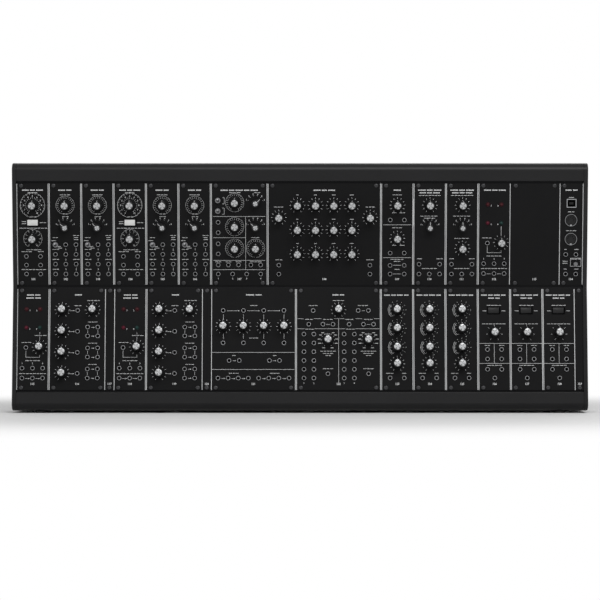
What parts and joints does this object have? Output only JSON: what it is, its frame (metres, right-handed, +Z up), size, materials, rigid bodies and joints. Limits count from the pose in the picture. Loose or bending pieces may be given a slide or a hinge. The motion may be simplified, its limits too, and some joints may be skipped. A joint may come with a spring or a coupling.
{
  "type": "modular synthesizer",
  "caption": "Wide black modular synthesizer: two tilted rows of front panels with knobs, sockets and switches in a slim case with a folding rear stand.",
  "frame": {"origin": "on the ground under the middle of the bounding box", "axes": "+X to the right as seen by the player, -Y towards the player, +Z up"},
  "size_m": [0.7218, 0.0994, 0.3134],
  "materials": {
    "case_paint": "satin black powder coat",
    "entry_plastic": "black moulded plastic",
    "rail_metal": "black anodised",
    "circuit_board": "green solder mask",
    "foot_rubber": "matt rubber",
    "knob_plastic": "black with a spun silver cap",
    "toggle_chrome": "polished",
    "white_rocker": "white moulded plastic",
    "dark_rocker": "black moulded plastic",
    "panel_paint": "matt black paint with white print"
  },
  "bodies": {
    "case": {"top_profile": "case_paint", "bottom_profile": "case_paint", "centre_rail": "rail_metal", "left_cheek": "case_paint", "right_cheek": "case_paint", "rear_cover": "case_paint", "bus_board": "circuit_board", "power_entry": "entry_plastic", "left_foot": "foot_rubber", "right_foot": "foot_rubber", "oscillator_driver_1": "panel_paint", "oscillator_1": "panel_paint", "oscillator_2": "panel_paint", "oscillator_driver_2": "panel_paint", "oscillator_3": "panel_paint", "oscillator_4": "panel_paint", "voltage_oscillator": "panel_paint", "filter_bank": "panel_paint", "noise_filters": "panel_paint", "high_pass_filter": "panel_paint", "low_pass_filter": "panel_paint", "control_voltages": "panel_paint", "wide_blank_panel": "panel_paint", "midi_interface": "panel_paint", "voltage_controller_1": "panel_paint", "mixer_1": "panel_paint", "narrow_blank_panel_1": "panel_paint", "voltage_controller_2": "panel_paint", "mixer_2": "panel_paint", "narrow_blank_panel_2": "panel_paint", "attenuators": "panel_paint", "patch_interface": "panel_paint", "envelope_generator_1": "panel_paint", "envelope_generator_2": "panel_paint", "envelope_generator_3": "panel_paint", "amplifier_1": "panel_paint", "amplifier_2": "panel_paint", "amplifier_3": "panel_paint", "narrow_blank_panel_3": "panel_paint"},
    "power_switch": {"power_switch": "dark_rocker"},
    "stand_bail": {"stand_bail": "case_paint"},
    "driver_1_tuning_knob": {"driver_1_tuning_knob": "knob_plastic"},
    "driver_1_standby_rocker": {"driver_1_standby_rocker": "white_rocker"},
    "oscillator_1_tuning_knob": {"oscillator_1_tuning_knob": "knob_plastic"},
    "oscillator_1_range_selector": {"oscillator_1_range_selector": "knob_plastic"},
    "oscillator_1_sync_toggle": {"oscillator_1_sync_toggle": "toggle_chrome"},
    "voltage_oscillator_tuning_knob": {"voltage_oscillator_tuning_knob": "knob_plastic"},
    "filter_bank_low_band_knob": {"filter_bank_low_band_knob": "knob_plastic"},
    "noise_low_pass_knob": {"noise_low_pass_knob": "knob_plastic"},
    "high_pass_cutoff_knob": {"high_pass_cutoff_knob": "knob_plastic"},
    "low_pass_cutoff_knob": {"low_pass_cutoff_knob": "knob_plastic"},
    "control_voltages_level_knob": {"control_voltages_level_knob": "knob_plastic"},
    "midi_learn_button": {"midi_learn_button": "knob_plastic"},
    "voltage_controller_1_level_knob": {"voltage_controller_1_level_knob": "knob_plastic"},
    "mixer_1_master_knob": {"mixer_1_master_knob": "knob_plastic"},
    "attenuator_1_knob": {"attenuator_1_knob": "knob_plastic"},
    "patch_interface_level_knob": {"patch_interface_level_knob": "knob_plastic"},
    "envelope_1_attack_knob": {"envelope_1_attack_knob": "knob_plastic"},
    "amplifier_1_gain_knob": {"amplifier_1_gain_knob": "knob_plastic"},
    "amplifier_1_mode_rocker": {"amplifier_1_mode_rocker": "dark_rocker"}
  },
  "joints": [
    {"name": "power_rock", "type": "hinge", "parent": "case", "child": "power_switch", "pos_m": [0.3066, 0.0413, 0.034], "axis": [0, 0, -1], "range_deg": [0, 14]},
    {"name": "stand_fold", "type": "hinge", "parent": "case", "child": "stand_bail", "pos_m": [0, 0.0447, 0.176], "axis": [1, 0, 0], "range_deg": [0, 50]},
    {"name": "driver_1_tuning_turn", "type": "hinge", "parent": "case", "child": "driver_1_tuning_knob", "pos_m": [-0.3354, -0.03455, 0.26054], "axis": [0, -0.994, -0.1097], "range_deg": [-150, 150]},
    {"name": "driver_1_standby_rock", "type": "hinge", "parent": "case", "child": "driver_1_standby_rocker", "pos_m": [-0.33492, -0.03116, 0.23894], "axis": [0, -0.1097, 0.994], "range_deg": [0, 14]},
    {"name": "oscillator_1_tuning_turn", "type": "hinge", "parent": "case", "child": "oscillator_1_tuning_knob", "pos_m": [-0.29456, -0.03454, 0.26042], "axis": [0, -0.994, -0.1097], "range_deg": [-150, 150]},
    {"name": "oscillator_1_range_turn", "type": "hinge", "parent": "case", "child": "oscillator_1_range_selector", "pos_m": [-0.29464, -0.03146, 0.23257], "axis": [0, -0.994, -0.1097], "range_deg": [-120, 30]},
    {"name": "oscillator_1_sync_flip", "type": "hinge", "parent": "case", "child": "oscillator_1_sync_toggle", "pos_m": [-0.30711, -0.03128, 0.21087], "axis": [1, 0, 0], "range_deg": [0, 24]},
    {"name": "voltage_oscillator_tuning_turn", "type": "hinge", "parent": "case", "child": "voltage_oscillator_tuning_knob", "pos_m": [-0.08201, -0.0349, 0.26374], "axis": [0, -0.994, -0.1097], "range_deg": [-150, 150]},
    {"name": "filter_bank_low_band_turn", "type": "hinge", "parent": "case", "child": "filter_bank_low_band_knob", "pos_m": [-0.02658, -0.03286, 0.24522], "axis": [0, -0.994, -0.1097], "range_deg": [-150, 150]},
    {"name": "noise_low_pass_turn", "type": "hinge", "parent": "case", "child": "noise_low_pass_knob", "pos_m": [0.12216, -0.03455, 0.26054], "axis": [0, -0.994, -0.1097], "range_deg": [-150, 150]},
    {"name": "high_pass_cutoff_turn", "type": "hinge", "parent": "case", "child": "high_pass_cutoff_knob", "pos_m": [0.16296, -0.03455, 0.26054], "axis": [0, -0.994, -0.1097], "range_deg": [-150, 150]},
    {"name": "low_pass_cutoff_turn", "type": "hinge", "parent": "case", "child": "low_pass_cutoff_knob", "pos_m": [0.2038, -0.03455, 0.26054], "axis": [0, -0.994, -0.1097], "range_deg": [-150, 150]},
    {"name": "control_voltages_level_turn", "type": "hinge", "parent": "case", "child": "control_voltages_level_knob", "pos_m": [0.25239, -0.0294, 0.21392], "axis": [0, -0.994, -0.1097], "range_deg": [-150, 150]},
    {"name": "midi_learn_press", "type": "slide", "parent": "case", "child": "midi_learn_button", "axis": [0, 0.994, 0.1097], "range_m": [0, 0.0012], "stiffness_N_per_m": 400, "springref_m": -0.0005},
    {"name": "voltage_controller_1_level_turn", "type": "hinge", "parent": "case", "child": "voltage_controller_1_level_knob", "pos_m": [-0.32673, -0.0316, 0.0826], "axis": [0, -0.994, 0.1097], "range_deg": [-150, 150]},
    {"name": "mixer_1_master_turn", "type": "hinge", "parent": "case", "child": "mixer_1_master_knob", "pos_m": [-0.26042, -0.02644, 0.12935], "axis": [0, -0.994, 0.1097], "range_deg": [-150, 150]},
    {"name": "attenuator_1_turn", "type": "hinge", "parent": "case", "child": "attenuator_1_knob", "pos_m": [-0.0965, -0.02874, 0.10853], "axis": [0, -0.994, 0.1097], "range_deg": [-150, 150]},
    {"name": "patch_interface_level_turn", "type": "hinge", "parent": "case", "child": "patch_interface_level_knob", "pos_m": [0.04837, -0.02644, 0.12935], "axis": [0, -0.994, 0.1097], "range_deg": [-150, 150]},
    {"name": "envelope_1_attack_turn", "type": "hinge", "parent": "case", "child": "envelope_1_attack_knob", "pos_m": [0.12188, -0.02646, 0.12922], "axis": [0, -0.994, 0.1097], "range_deg": [-150, 150]},
    {"name": "amplifier_1_gain_turn", "type": "hinge", "parent": "case", "child": "amplifier_1_gain_knob", "pos_m": [0.244, -0.02963, 0.10048], "axis": [0, -0.994, 0.1097], "range_deg": [-150, 150]},
    {"name": "amplifier_1_mode_rock", "type": "hinge", "parent": "case", "child": "amplifier_1_mode_rocker", "pos_m": [0.24344, -0.02555, 0.12834], "axis": [0, 0.1097, 0.994], "range_deg": [0, 14]}
  ]
}
